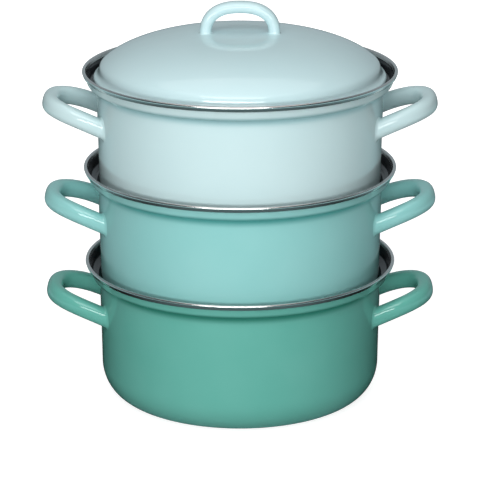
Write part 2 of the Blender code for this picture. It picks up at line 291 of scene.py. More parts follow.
def make_piece(name, points, quads, triangles=NO_TRIANGLES, slots=None, weld=False):
    """A smooth-shaded mesh object at the origin from arrays, with its faces turned outward."""
    if signed_volume(points, quads, triangles) < 0.0:
        quads, triangles = quads[:, ::-1], triangles[:, ::-1]
    mesh = bpy.data.meshes.new(name)
    corners = np.concatenate([quads.ravel(), triangles.ravel()])
    sizes = np.concatenate([np.full(len(quads), 4), np.full(len(triangles), 3)])
    mesh.vertices.add(len(points))
    mesh.vertices.foreach_set("co", points.ravel())
    mesh.loops.add(len(corners))
    mesh.loops.foreach_set("vertex_index", corners)
    mesh.polygons.add(len(sizes))
    mesh.polygons.foreach_set("loop_start", np.cumsum(sizes) - sizes)
    if slots is not None:
        mesh.polygons.foreach_set("material_index", slots)
    mesh.update(calc_edges=True)
    if weld:
        loose = bmesh.new()
        loose.from_mesh(mesh)
        bmesh.ops.remove_doubles(loose, verts=loose.verts, dist=WELD_DISTANCE)
        loose.to_mesh(mesh)
        loose.free()
    mesh.shade_smooth()
    return new_object(name, mesh)


sheet_volume = signed_volume(turned_points(outline, angles), grid_faces(len(outline), AROUND), NO_TRIANGLES)
print("the sheet of a closed vessel holds", round(1e6 * abs(sheet_volume), 1), "cubic centimetres")

# %% [markdown]
# The closed pot is the outline turned once round, from pole to pole. The lid is made in the
# same way later, so one function does both.

# %% Closed pot
def make_turned_shell(name, path, edge_row, base):
    """A sheet turned from pole to pole: rings, and a fan at each end. Slot 0 outside, 1 inside.

    Everything past the outline's edge row, where the colour ends, is inside.
    """
    rings = path[1:-1]
    points = turned_points(rings, angles) + [0.0, 0.0, base]
    poles = [[0.0, 0.0, base + path[end, 1]] for end in (0, -1)]
    inside = np.repeat(np.arange(len(rings) - 1) >= edge_row - 1, AROUND)
    slots = np.concatenate([inside, np.zeros(AROUND), np.ones(AROUND)]).astype(int)
    points, size = np.concatenate([points, poles]), (len(rings), AROUND)
    return make_piece(name, points, grid_faces(*size), end_fans(*size), slots)


pot_shell = make_turned_shell("pot_shell", outline, rim_row, pot_low.z)
print("pot shell", len(pot_shell.data.polygons), "faces")

# %% [markdown]
# Steam rises through the floor of an insert. The holes are punched before firing, so each has
# a round lip of glass over the cut steel. A Boolean would leave a sharp edge, so the floor is
# built from cells: each hole sits in the middle of a piece of a ring, and a grid runs from the
# edge of that piece, in along the underside, round the lip and out along the top. Neighbours
# share their edges, and welding makes one sheet of them.

# %% Cells of a perforated floor
HOLE_RADIUS = 0.0045
HOLE_STEP = 0.0240
HOLE_RINGS = 3
HOLES_PER_RING_STEP = 6
SIDE_STEPS = 8
LIP_STEPS = 7
FLAT_SHARES = (1.0, 0.45, 0.06)     # places of the rows between a cell's edge and the lip
floor_radius = (HOLE_RINGS + 0.5) * HOLE_STEP


def cell_edge(ring):
    """Edge of one cell of a ring of holes, as radii and as angles from the cell's middle."""
    holes = max(1, HOLES_PER_RING_STEP * ring)
    turn = np.linspace(-np.pi / holes, np.pi / holes, AROUND // holes + 1)
    outer = (ring + 0.5) * HOLE_STEP
    if ring == 0:
        return np.stack([np.full(AROUND, outer), turn[:-1]], axis=1)
    inner = (ring - 0.5) * HOLE_STEP
    out = np.linspace(inner, outer, SIDE_STEPS + 1)
    sides = [
        np.stack([np.full(len(turn) - 1, outer), turn[:-1]], axis=1),
        np.stack([out[:0:-1], np.full(SIDE_STEPS, turn[-1])], axis=1),
        np.stack([np.full(len(turn) - 1, inner), turn[:0:-1]], axis=1),
        np.stack([out[:-1], np.full(SIDE_STEPS, turn[0])], axis=1),
    ]
    return np.concatenate(sides)


def cell_points(ring, base):
    """Points of all cells of a ring, as an array of cells, rows and columns.

    A row runs round the hole. From row to row the distance to the hole's middle shrinks from
    the cell's edge to the lip, follows a half circle through the sheet, and grows again.
    """
    holes = max(1, HOLES_PER_RING_STEP * ring)
    edge = cell_edge(ring)
    middle = np.array([ring * HOLE_STEP, 0.0])
    border = np.stack([edge[:, 0] * np.cos(edge[:, 1]), edge[:, 0] * np.sin(edge[:, 1])], axis=1)
    reach = np.linalg.norm(border - middle, axis=1)
    away = (border - middle) / reach[:, None]
    lip = 0.5 * SHEET
    share = np.array(FLAT_SHARES)[:, None]
    flat = HOLE_RADIUS + lip + share * (reach[None, :] - HOLE_RADIUS - lip)
    turn = np.linspace(-np.pi / 2, np.pi / 2, LIP_STEPS)[:, None]
    round_lip = HOLE_RADIUS + lip - lip * np.cos(turn) + 0.0 * reach[None, :]
    distance = np.concatenate([flat, round_lip, flat[::-1]])
    lip_height = lip + lip * np.sin(turn[:, 0])
    height = np.concatenate([np.zeros(len(share)), lip_height, np.full(len(share), SHEET)])
    x = middle[0] + distance * away[None, :, 0]
    y = distance * away[None, :, 1]
    place = 2.0 * np.pi * (np.arange(holes) + 0.5) / holes
    cos, sin = np.cos(place)[:, None, None], np.sin(place)[:, None, None]
    z = base + height[None, :, None] + 0.0 * (x * cos)
    return np.stack([x * cos - y * sin, x * sin + y * cos, z], axis=3)


hole_count = 1 + HOLES_PER_RING_STEP * sum(range(1, HOLE_RINGS + 1))
print(hole_count, "holes in a floor, the cells reach", in_mm(floor_radius), "mm out")

# %% [markdown]
# An insert is the same outline, turned from the edge of its floor instead of from the axis,
# with the cells set into it.

# %% Inserts
def make_insert(name, base):
    """The perforated vessel: a turned outline from the floor's edge, and the cells of its floor."""
    path, top_row = vessel_outline(floor_radius)
    points = [turned_points(path, angles) + [0.0, 0.0, base]]
    quads = [grid_faces(len(path), AROUND)]
    slots = [np.repeat(np.arange(len(path) - 1) >= top_row, AROUND)]
    used = len(points[0])
    for ring in range(HOLE_RINGS + 1):
        cells = cell_points(ring, base)
        holes, rows, columns = cells.shape[:3]
        faces = grid_faces(rows, columns)[:, ::-1]
        starts = used + rows * columns * np.arange(holes)
        points.append(cells.reshape(-1, 3))
        quads.append((faces[None] + starts[:, None, None]).reshape(-1, 4))
        inside = np.repeat(np.arange(rows - 1) >= (rows - 1) // 2, columns)
        slots.append(np.tile(inside, holes))
        used += holes * rows * columns
    slots = np.concatenate(slots).astype(int)
    return make_piece(name, np.concatenate(points), np.concatenate(quads), slots=slots, weld=True)


middle_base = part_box("middle_insert_body")[0].z
top_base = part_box("top_insert_body")[0].z
middle_shell = make_insert("middle_insert_shell", middle_base)
top_shell = make_insert("top_insert_shell", top_base)
bases = {"pot": pot_low.z, "middle_insert": middle_base, "top_insert": top_base}
print("insert", len(middle_shell.data.polygons), "faces, tier pitch", in_mm(middle_base - pot_low.z), "mm")

# %% [markdown]
# The band is a strip of stainless steel, rolled over the raw rim like a hem. It keeps the
# glass from chipping there. Its outline is a thin upside-down U that leans with the collar,
# and its ends are turned in until they touch the enamel.

# %% Steel bands
BAND_SHEET = 0.0005
BAND_DEPTH = 0.0041
BAND_TUCK = 0.0002       # the edges of the band curl in by this much
BAND_CURL = 0.0012       # over this height
BAND_EASE = 0.0004       # corners of the outline are rounded over this length
BAND_STEP = 0.00005      # read at these steps
SKIRT_POINTS = 30
CROWN_POINTS = 25
BAND_POINTS = 40         # after thinning
EDGE_BULGE = 0.12        # the cut edges bulge by this share of the strip's thickness


def band_outline():
    """Closed outline of the band: an arc over the rim's tip, two skirts and the same way back."""
    up = np.array([np.sin(collar_tilt), np.cos(collar_tilt)])
    out = np.array([up[1], -up[0]])
    skirt = (BAND_DEPTH - CRIMP) / up[1]
    down = np.linspace(0.0, skirt, SKIRT_POINTS)
    tuck = BAND_TUCK * np.clip((down - skirt + BAND_CURL) / BAND_CURL, 0.0, 1.0) ** 2
    half = CRIMP - tuck
    outer_side = rim_tip + np.outer(half, out) - np.outer(down, up)
    inner_side = rim_tip - np.outer(half, out) - np.outer(down, up)
    crown = arc(rim_tip, (CRIMP, CRIMP), -collar_tilt, np.pi - collar_tilt, CROWN_POINTS)
    outer = np.concatenate([outer_side[:0:-1], crown, inner_side[1:]])
    outer = thinned(softened(outer, BAND_EASE, BAND_STEP), BAND_POINTS)
    hollow = shifted(outer, BAND_SHEET)[::-1]
    edge = 0.5 * (outer[-1] + hollow[0])
    other = 0.5 * (outer[0] + hollow[-1])
    low = EDGE_BULGE * BAND_SHEET * up
    return np.concatenate([outer, [edge - low], hollow, [other - low]])


band_path = band_outline()
band_faces = grid_faces(len(band_path), AROUND, close_rows=True)
bands = {}
for vessel, base in bases.items():
    points = turned_points(band_path, angles) + [0.0, 0.0, base]
    bands[vessel] = make_piece(f"{vessel}_steel_band", points, band_faces)
print("band outline", len(band_path), "points")

# %% [markdown]
# The loop handles are bent from bar with rounded corners and welded on before enamelling, so
# the glass fills the angle at each foot with a soft fillet. A Bezier curve with a bevel would
# give the bar but not the foot. Here a section is carried along the loop: in plan the loop
# is half of a rounded square, from the side it climbs outward and levels off, and near each
# foot the section grows as a fillet does.

# %% Rounded squares
HANDLE_HALF_THICK = 0.0067
HANDLE_HALF_TALL = 0.0076
BAR_POWER = 2.5             # of the bars' sections: 2 is an ellipse, more is squarer
TURN_POINTS = 721
LOOP_POINTS = 1441


def power_curve(angle, power):
    """Cosine and sine raised to two over the power: a circle at 2, a rounder square above it."""
    return [np.sign(part) * np.abs(part) ** (2.0 / power) for part in (np.cos(angle), np.sin(angle))]


def rounded_section(half_thick, half_tall, power, count=36):
    """Evenly spaced points of a rounded square, as pairs of thickness and height."""
    thick, tall = power_curve(np.linspace(0.0, 2.0 * np.pi, TURN_POINTS), power)
    dense = np.stack([half_thick * thick, half_tall * tall], axis=1)
    return at_distances(dense, np.linspace(0.0, run_length(dense)[-1], count + 1)[:-1])


def half_loop(length, half_width, power):
    """Half of a rounded square from one foot to the other, as pairs of outward and sideways."""
    sideways, outward = power_curve(np.linspace(0.0, np.pi, LOOP_POINTS), power)
    return np.stack([length * np.abs(outward), half_width * sideways], axis=1)


section = rounded_section(HANDLE_HALF_THICK, HANDLE_HALF_TALL, BAR_POWER)
print("bar", in_mm(np.ptp(section, axis=0)), "mm thick and tall")

# %% [markdown]
# The rings of a bar stand close together in its fillets, which are quarter circles between
# wall and leg, and evenly in between. Fans close its ends.

# %% Feet and bars
FOOT_RINGS = 9              # in each fillet


def foot_steps(length, fillet, step):
    """Distances along a path: close together in the fillet at each end, even in between."""
    turn = np.linspace(0.0, np.pi / 2, FOOT_RINGS)
    near = fillet * (1.0 - np.cos(turn))
    count = int((length - 2.0 * fillet) / step)
    between = np.linspace(fillet, length - fillet, count + 1)[1:-1]
    return np.concatenate([near, between, length - near[::-1]])


def fillet_swell(distance, fillet):
    """How far a round fillet stands out at a distance from the wall: its radius less the arc's height."""
    inward = np.clip(1.0 - distance / fillet, 0.0, 1.0)
    return fillet * (1.0 - np.sqrt(1.0 - inward ** 2))


def smooth_step(share):
    """From 0 to 1 without a kink: three times the square less twice the cube."""
    share = np.clip(share, 0.0, 1.0)
    return share * share * (3.0 - 2.0 * share)


def make_bar(name, points):
    """A closed bar from rings of points, with a flat fan at each end."""
    size = points.shape[:2]
    hubs = [ring.mean(axis=0) for ring in (points[0], points[-1])]
    points = np.concatenate([points.reshape(-1, 3), hubs])
    return make_piece(name, points, grid_faces(*size), end_fans(*size))


print("a fillet of 1 mm is", round(fillet_swell(0.5, 1.0), 2), "mm thick halfway out")

# %% [markdown]
# A leg is thick and the wall is round, so a square end would stand off the wall or sink into
# it. Instead each point near a foot slides along the leg's slope until it meets the wall.

# %% Loop handles
HANDLE_SPREAD = 0.0372      # half the distance between the legs' middle lines
HANDLE_FOOT_DROP = 0.0286   # from the neck down to the feet
HANDLE_RISE = np.radians(25.0)
HANDLE_LEVELLING = 0.0052   # the loop's end is this much lower than a straight climb
HANDLE_POWER = 2.5
HANDLE_FILLET = 0.0026
FOOT_BLEND = 0.0150         # over this length the section turns from the wall's lean to its own
FOOT_SINK = 0.0002          # the feet reach this far into the glass of the wall
HANDLE_STEP = 0.0016        # from ring to ring along the free loop

handle_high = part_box("bottom_right_handle")[1]


def slid_to_wall(points, slope):
    """How far along X each point slides, rising by a slope, until it meets the wall."""
    slide = np.zeros(points.shape[:-1])
    for seek in range(3):
        radius = wall_radius(points[..., 2] + slope * slide)
        slide = np.sqrt(radius ** 2 - points[..., 1] ** 2) - FOOT_SINK - points[..., 0]
    return slide


def loop_points(reach):
    """Rings of points of a loop handle on the +X side, over a vessel's base, out to a reach.

    Near a foot each ring slides along the leg, by as much as it takes to lie on the wall and
    then out again by its own distance from it, and less and less towards the free loop.
    """
    foot_height = neck[1] - HANDLE_FOOT_DROP
    root = np.sqrt(wall_radius(foot_height) ** 2 - HANDLE_SPREAD ** 2)
    slope = np.tan(HANDLE_RISE)
    tilt_out = np.arctan(slope - 2.0 * HANDLE_LEVELLING / (reach - root))
    overhang = (section[:, 0] * np.cos(tilt_out) - section[:, 1] * np.sin(tilt_out)).max()
    length = reach - overhang - root
    plan = half_loop(length, HANDLE_SPREAD, HANDLE_POWER)
    plan = at_distances(plan, foot_steps(run_length(plan)[-1], HANDLE_FILLET, HANDLE_STEP))
    out, across = plan[:, 0], plan[:, 1]
    climb = out * slope - HANDLE_LEVELLING * (out / length) ** 2
    tilt = np.arctan(slope - 2.0 * HANDLE_LEVELLING * out / length ** 2)
    line = np.stack([root + out, across, foot_height + climb], axis=1)
    along = directions(line)
    upward = np.stack([-np.sin(tilt), 0.0 * tilt, np.cos(tilt)], axis=1)
    sideways = np.cross(along, upward)
    swell = fillet_swell(out, HANDLE_FILLET)[:, None]
    thick = section[None, :, 0] * (1.0 + swell / np.abs(section[:, 0]).max())
    tall = section[None, :, 1] * (1.0 + swell / np.abs(section[:, 1]).max())
    points = line[:, None] + thick[..., None] * sideways[:, None] + tall[..., None] * upward[:, None]
    leaning = 1.0 - smooth_step(out / FOOT_BLEND)[:, None]
    slide = leaning * (slid_to_wall(points, slope) + out[:, None])
    points[..., 0] += slide
    points[..., 2] += slope * slide
    return points


loop_rings = loop_points(handle_high.x)
loops = {}
for vessel, base in bases.items():
    for place, side in (("left", -1.0), ("right", 1.0)):
        rings = loop_rings * [side, 1.0, 1.0] + [0.0, 0.0, base]
        loops[vessel, place] = make_bar(f"{vessel}_{place}_loop", rings)
print("loop ends at", in_mm(loop_rings.max(axis=(0, 1))), "mm, the frame's at", in_mm(handle_high), "mm")

# %% [markdown]
# The lid is a second pressing: a full dome, a small hollow where it meets the shoulder, and a
# short skirt that stands on the ledge of the top vessel. The dome is fuller than a part of a
# sphere, so its height is a power curve of its radius.

# %% Lid
lid_low, lid_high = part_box("lid_dome")
LID_SHEET = 0.0012
SKIRT_HEIGHT = 0.0053
SKIRT_FLARE = 0.0008        # the skirt is this much wider at the shoulder than at its foot
SHOULDER_BEND = 0.0023
SHOULDER_STEP = 0.0050
FOLD_EASE = 0.0120          # the fold between dome and shoulder is rounded over this length
LID_EASE = 0.0042           # and the other corners over this
DOME_POINTS = 120
HEM_POINTS = 7
DOME_LIFT = 0.0066
DOME_RISE = 0.0305
DOME_BULGE = 0.0020
DOME_PLAN_POWER = 2.56
DOME_RISE_POWER = 0.692

lid_seat = lid_low.z
shoulder_radius = lid_high.y
dome_radius = shoulder_radius - SHOULDER_STEP


def dome_height(radius):
    """Height of the dome over its seat: a rise times one less the radius' share, both to powers."""
    share = np.clip(radius / (dome_radius + DOME_BULGE), 0.0, 1.0)
    return SKIRT_HEIGHT + DOME_LIFT + DOME_RISE * (1.0 - share ** DOME_PLAN_POWER) ** DOME_RISE_POWER


def lid_outline(count=80):
    """Outline of the lid's sheet: dome, hollow, shoulder, skirt, round its foot and back inside."""
    radius = dome_radius * np.sin(np.linspace(0.0, 0.5 * np.pi, DOME_POINTS))
    dome = np.stack([radius, dome_height(radius)], axis=1)
    dip = SHOULDER_STEP - SHOULDER_BEND
    shoulder_centre = np.array([shoulder_radius - SHOULDER_BEND, SKIRT_HEIGHT])
    hollow_centre = shoulder_centre + np.array([0.0, SHOULDER_BEND + dip])
    hollow = arc(hollow_centre, (dip, dip), np.pi, 1.5 * np.pi)
    shoulder = arc(shoulder_centre, (SHOULDER_BEND, SHOULDER_BEND), np.pi / 2, 0.0)
    foot = np.array([[shoulder_radius - SKIRT_FLARE, 0.5 * LID_SHEET]])
    fold = softened(np.concatenate([dome, hollow]), FOLD_EASE)
    outside = softened(np.concatenate([fold, shoulder[1:], foot]), LID_EASE)
    inside = shifted(outside, -LID_SHEET)[::-1]
    inside[-1] = (0.0, outside[0, 1] - LID_SHEET)
    foot_centre = (foot[0, 0] - 0.5 * LID_SHEET, 0.5 * LID_SHEET)
    hem = arc(foot_centre, (0.5 * LID_SHEET, 0.5 * LID_SHEET), 0.0, -np.pi, HEM_POINTS)
    outside, inside = thinned(outside, count), thinned(inside, count)
    return np.concatenate([outside[:-1], hem, inside[1:]]), count - 1 + len(hem) // 2


lid_path, hem_row = lid_outline()
lid_shell = make_turned_shell("lid_shell", lid_path, hem_row, lid_seat)
print("lid rises", in_mm(dome_height(0.0)), "mm over its seat")

# %% [markdown]
# The lid's handle is a slimmer bar bent to an arch, welded and enamelled like the loops. Its
# section is carried along half of a rounded square too, which now stands on the dome.

# %% Arch handle
ARCH_SPAN = 0.0287          # half the distance between the legs' middle lines
ARCH_HALF_THICK = 0.0051
ARCH_HALF_DEEP = 0.0061
ARCH_POWER = 2.4
ARCH_FILLET = 0.0016
ARCH_BLEND = 0.0060         # over this height the section turns from the dome to its own
ARCH_STEP = 0.0010

arch_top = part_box("lid_handle")[1].z


def arch_points():
    """Rings of points of the arch over X, each foot lying on the dome."""
    bar = rounded_section(ARCH_HALF_THICK, ARCH_HALF_DEEP, BAR_POWER)
    foot = lid_seat + dome_height(ARCH_SPAN)
    rise = arch_top - ARCH_HALF_THICK - foot
    line = half_loop(rise, ARCH_SPAN, ARCH_POWER)
    line = at_distances(line, foot_steps(run_length(line)[-1], ARCH_FILLET, ARCH_STEP))
    up, across = line[:, 0], line[:, 1]
    along = directions(line)
    swell = fillet_swell(up, ARCH_FILLET)[:, None]
    thick = bar[None, :, 0] * (1.0 + swell / ARCH_HALF_THICK)
    deep = bar[None, :, 1] * (1.0 + swell / ARCH_HALF_DEEP)
    x = across[:, None] - along[:, 0][:, None] * thick
    z = foot + up[:, None] + along[:, 1][:, None] * thick
    dome = lid_seat + dome_height(np.hypot(x, deep)) - FOOT_SINK
    own = smooth_step(up / ARCH_BLEND)[:, None]
    z = own * z + (1.0 - own) * (dome + up[:, None])
    return np.stack([x, deep, z], axis=2)


arch_rings = arch_points()
lid_arch = make_bar("lid_arch", arch_rings)
print("arch top at", in_mm(arch_rings[..., 2].max()), "mm, the frame's at", in_mm(arch_top), "mm")

# %% [markdown]
# A finish is a small network of nodes. Written out, each node takes several lines, so helpers
# make a node, join it up and hand back its output. Object coordinates are in metres, so the
# scale of a noise is one over a real length.

# %% Helpers for finishes
def new_finish(name):
    """A new material, its node tree and its shader."""
    material = bpy.data.materials.new(name)
    material.use_nodes = True
    tree = material.node_tree
    return material, tree, tree.nodes["Principled BSDF"]


def feed(tree, value, socket):
    """Join another node's output to a socket, or set the socket to a constant."""
    if isinstance(value, bpy.types.NodeSocket):
        tree.links.new(value, socket)
    else:
        socket.default_value = value


def set_inputs(tree, node, **inputs):
    """Feed some of a node's inputs."""
    for name, value in inputs.items():
        feed(tree, value, node.inputs[name.replace("_", " ")])


def node_of(tree, kind, **inputs):
    """A new node with some of its inputs fed."""
    node = tree.nodes.new(kind)
    set_inputs(tree, node, **inputs)
    return node


def noise_of(tree, length, detail=2.0):
    """Noise on Object coordinates whose features are about as long as given, in metres."""
    place = tree.nodes.new("ShaderNodeTexCoord").outputs["Object"]
    noise = node_of(tree, "ShaderNodeTexNoise", Vector=place, Scale=1.0 / length, Detail=detail)
    return noise.outputs["Fac"]


def mixed_colour(tree, factor, first, second):
    """A colour between two others, by a factor from a texture."""
    mix = tree.nodes.new("ShaderNodeMix")
    mix.data_type = "RGBA"
    a, b = ((*colour, 1.0) if isinstance(colour, tuple) else colour for colour in (first, second))
    set_inputs(tree, mix, Factor=factor, A=a, B=b)
    return mix.outputs["Result"]


def spread(tree, value, old_low, old_high, low, high, smooth=False):
    """A value carried from one range to another, and held at the ends of the new one."""
    node = node_of(tree, "ShaderNodeMapRange", Value=value, From_Min=old_low, From_Max=old_high,
                   To_Min=low, To_Max=high)
    node.interpolation_type = "SMOOTHSTEP" if smooth else "LINEAR"
    return node.outputs["Result"]


def ranged(tree, noise, low, high):
    """A noise, whose values lie mostly from 0.3 to 0.7, spread to a range from low to high."""
    return spread(tree, noise, 0.3, 0.7, low, high)


def calculated(tree, operation, first, second=0.0):
    """The result of a sum on two values, each of them a number or a socket."""
    node = tree.nodes.new("ShaderNodeMath")
    node.operation = operation
    for socket, value in zip(node.inputs, (first, second)):
        feed(tree, value, socket)
    return node.outputs["Value"]


def place_parts(tree):
    """The three Object coordinates, each as a socket."""
    place = tree.nodes.new("ShaderNodeTexCoord").outputs["Object"]
    parts = node_of(tree, "ShaderNodeSeparateXYZ", Vector=place)
    return [parts.outputs[axis] for axis in "XYZ"]


def distance_from_axis(tree, x, y):
    """The square root of the sum of the squares of x and y."""
    squares = [calculated(tree, "MULTIPLY", part, part) for part in (x, y)]
    return calculated(tree, "SQRT", calculated(tree, "ADD", *squares))


DRIFT_LENGTH = 0.045        # of the coat's colour
GLOSS_LENGTH = 0.018
GRAIN_LENGTH = 0.0005       # of the pigment
print("noises of", in_mm([DRIFT_LENGTH, GLOSS_LENGTH, GRAIN_LENGTH]), "mm")

# %% [markdown]
# Vitreous enamel is coloured glass, a few tenths of a millimetre thick. Its colour drifts with
# the thickness of the coat, its surface has the long, shallow ripple of orange peel, and it
# mirrors what stands round it. So it takes a broad noise for the drift, a fine one for the
# grain of the pigment and two more for the ripple. In the groove under each rim, where a soft
# dark line runs, the colour is deepened: partly by glass, which runs before it sets and pools
# there, and partly as painted shade.

# %% Enamel
RIPPLES = ((0.0085, 0.000022), (0.0022, 0.0000022))    # lengths and heights, in metres
GLOSS_CHANGE = 0.2          # the roughness varies by this share
GRAIN_SHARE = 0.10
SHADE_POOL_BELOW = 0.0060         # the painted shade, with a pool of glass, fades in over the wall from this far under the groove
SHADE_POOL_FULL = (0.0010, 0.0025)    # is full between these heights over the groove
SHADE_POOL_ABOVE = 0.0058         # and has ended at this one
SHADE_POOL_RADII = (0.134, 0.136)     # and ends between these, so that the handles have none


def rippled(tree, ripples):
    """A normal bumped by several ripples, each a feature length and a height, in metres."""
    normal = None
    for length, height in ripples:
        bump = node_of(tree, "ShaderNodeBump", Strength=1.0, Distance=height, Height=noise_of(tree, length))
        if normal is not None:
            tree.links.new(normal, bump.inputs["Normal"])
        normal = bump.outputs["Normal"]
    return normal


def pooled_shade(tree, groove):
    """Painted shade and a pool of glass: 1 in the groove at a given height and 0 away, a smooth hill."""
    x, y, z = place_parts(tree)
    below = spread(tree, z, groove - SHADE_POOL_BELOW, groove + SHADE_POOL_FULL[0], 0.0, 1.0, smooth=True)
    above = spread(tree, z, groove + SHADE_POOL_FULL[1], groove + SHADE_POOL_ABOVE, 1.0, 0.0, smooth=True)
    within = spread(tree, distance_from_axis(tree, x, y), *SHADE_POOL_RADII, 1.0, 0.0)
    return calculated(tree, "MULTIPLY", calculated(tree, "MULTIPLY", below, above), within)


def enamel(name, thin, thick, roughness, groove=None, deep=None):
    """Glossy glass whose colour drifts between that of a thin and of a thick coat.

    Where a groove's height is given, the colour deepens in it: partly a pool of glass, partly painted
    shade.
    """
    material, tree, shader = new_finish(name)
    drift = ranged(tree, noise_of(tree, DRIFT_LENGTH), 0.0, 1.0)
    coat = mixed_colour(tree, drift, thin, thick)
    if groove is not None:
        # painted shade in the groove under the rim, which also stands for the glass that pools there
        coat = mixed_colour(tree, pooled_shade(tree, groove), coat, deep)
    grain = ranged(tree, noise_of(tree, GRAIN_LENGTH, 0.0), 0.0, GRAIN_SHARE)
    low, high = (1.0 - GLOSS_CHANGE) * roughness, (1.0 + GLOSS_CHANGE) * roughness
    gloss = ranged(tree, noise_of(tree, GLOSS_LENGTH), low, high)
    colour = mixed_colour(tree, grain, coat, thick)
    set_inputs(tree, shader, Base_Color=colour, Roughness=gloss, Normal=rippled(tree, RIPPLES))
    return material


# the pool printed here is painted shade as well as deeper glass
print("a pool of glass is up to", in_mm(SHADE_POOL_BELOW + SHADE_POOL_ABOVE), "mm high")

# %% [markdown]
# Each colour was set so that the middle of its wall comes out as in the photograph. More glass
# holds back more light, and least of what it lets through best, so a deeper coat has each
# part of its colour raised to a power above 1.

# %% Colours of the enamel
def tinted(colour, share):
    """A colour deepened or, below 1, lightened: each part to a power."""
    return tuple(part ** share for part in colour)


# the third power deepens the colour in the groove under each rim: painted shade as well as glass
THIN_COAT, THICK_COAT, POOLED_SHADE_COAT = 0.97, 1.03, 2.1
COLOURS = {
    "teal": (0.146, 0.484, 0.408),
    "turquoise": (0.302, 0.650, 0.632),
    "pale": (0.606, 0.790, 0.808),
}
LID_COLOUR = (0.620, 0.828, 0.860)
BLACK_COATS = ((0.009, 0.009, 0.012), (0.005, 0.005, 0.007))
ENAMEL_ROUGHNESS = 0.055
BLACK_ROUGHNESS = 0.12      # the inside is fired duller than the outside
BLACK_MIRRORING = 0.22      # and mirrors less; glass has 0.5

outside_enamel = {}
for (name, colour), base in zip(COLOURS.items(), bases.values()):
    thin, thick, deep = (tinted(colour, share) for share in (THIN_COAT, THICK_COAT, POOLED_SHADE_COAT))
    groove = base + float(neck[1])
    outside_enamel[name] = enamel(f"{name}_enamel", thin, thick, ENAMEL_ROUGHNESS, groove, deep)
lid_coats = tinted(LID_COLOUR, THIN_COAT), tinted(LID_COLOUR, THICK_COAT)
lid_enamel = enamel("lid_enamel", *lid_coats, ENAMEL_ROUGHNESS)
black_enamel = enamel("black_enamel", *BLACK_COATS, BLACK_ROUGHNESS)
black_shader = black_enamel.node_tree.nodes["Principled BSDF"]
black_shader.inputs["Specular IOR Level"].default_value = BLACK_MIRRORING
print("enamels", list(outside_enamel), lid_enamel.name, black_enamel.name)

# %% [markdown]
# The bands are rolled from bright stainless strip, so the marks of the rollers run round the
# rim. Noise on the distance from the axis, the height and, hardly at all, the angle gives them.

# %% Stainless steel
LINE_WIDTH = 0.00012
LINE_PULL = 0.0009          # a radian round the axis counts as this many metres
LINE_HEIGHT = 0.0000015
STEEL_COLOURS = ((0.560, 0.545, 0.530), (0.660, 0.650, 0.640))
STEEL_ROUGHNESS = (0.13, 0.24)


def stainless(name):
    """Polished steel with fine lines that run round the axis."""
    material, tree, shader = new_finish(name)
    x, y, z = place_parts(tree)
    turn = calculated(tree, "MULTIPLY", calculated(tree, "ARCTAN2", y, x), LINE_PULL)
    across = node_of(tree, "ShaderNodeCombineXYZ", X=distance_from_axis(tree, x, y), Y=turn, Z=z)
    lines = node_of(tree, "ShaderNodeTexNoise", Vector=across.outputs["Vector"], Scale=1.0 / LINE_WIDTH,
                    Detail=1.0).outputs["Fac"]
    bump = node_of(tree, "ShaderNodeBump", Strength=1.0, Distance=LINE_HEIGHT, Height=lines)
    set_inputs(tree, shader, Base_Color=mixed_colour(tree, lines, *STEEL_COLOURS), Metallic=1.0,
               Roughness=ranged(tree, lines, *STEEL_ROUGHNESS), Normal=bump.outputs["Normal"])
    return material


steel = stainless("rolled_stainless")
print(steel.name, "has a line every", in_mm(LINE_WIDTH), "mm")

# %% [markdown]
# Each piece now gets its finish, stands for its solid in the frame and rides on its body, so
# that a lifted tier takes its band and its handles along.

# %% Dress the pieces
def dress(piece, body, node, slot, *materials):
    """Give a piece its materials, let it stand for a solid of the frame and ride on its body."""
    for material in materials:
        piece.data.materials.append(material)
    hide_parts(node)
    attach(piece, body)


TIERS = (
    ("pot", "bottom", "bottom_pot_body", "teal", pot_shell),
    ("middle_insert", "middle", "middle_insert_body", "turquoise", middle_shell),
    ("top_insert", "top", "top_insert_body", "pale", top_shell),
)
for body, tier, shell_node, colour, shell in TIERS:
    slot = f"{colour}_enamel"
    dress(shell, body, shell_node, slot, outside_enamel[colour], black_enamel)
    dress(bands[body], body, f"{tier}_rim_band", "stainless", steel)
    for place in ("left", "right"):
        dress(loops[body, place], body, f"{tier}_{place}_handle", slot, outside_enamel[colour])
dress(lid_shell, "lid", "lid_dome", "pale_enamel", lid_enamel, black_enamel)
dress(lid_arch, "lid", "lid_handle", "pale_enamel", lid_enamel)

# %% [markdown]
# The photograph is a studio picture on white. White paper lies under the pot and sends some
# light up under the rims. Grey cloth hangs round the set and lies on the table. Only gloss
# sees it, so the edges of the pot stay dark against the white. It is a little blue, as the
# shadows in the photograph are, and lighter behind the pot, where the lid's top and the inner
# sides of the bands mirror it.

# %% Parts of the studio
CLOTH_COLOUR = (0.02, 0.02, 0.02)


def seen_directly(tree):
    """1 for the camera's own rays and for mirrored and transmitted ones, and 0 for the rest."""
    path = tree.nodes.new("ShaderNodeLightPath")
    glossy, through = path.outputs["Is Glossy Ray"], path.outputs["Is Transmission Ray"]
    mirrored = calculated(tree, "MAXIMUM", glossy, through)
    return calculated(tree, "MAXIMUM", path.outputs["Is Camera Ray"], mirrored)


def from_axis(tree):
    """Distance of a place on the table from the pot's axis, and how squarely it lies in front."""
    x, y = place_parts(tree)[:2]
    away = distance_from_axis(tree, x, y)
    ahead = calculated(tree, "DIVIDE", calculated(tree, "MULTIPLY", y, -1.0), away)
    return away, ahead


def make_stage(name, points, quads, material):
    """A part of the studio, which isn't part of the pot."""
    mesh = bpy.data.meshes.new(name)
    mesh.from_pydata(points.tolist(), [], quads.tolist())
    mesh.materials.append(material)
    thing = new_object(name, mesh)
    return thing


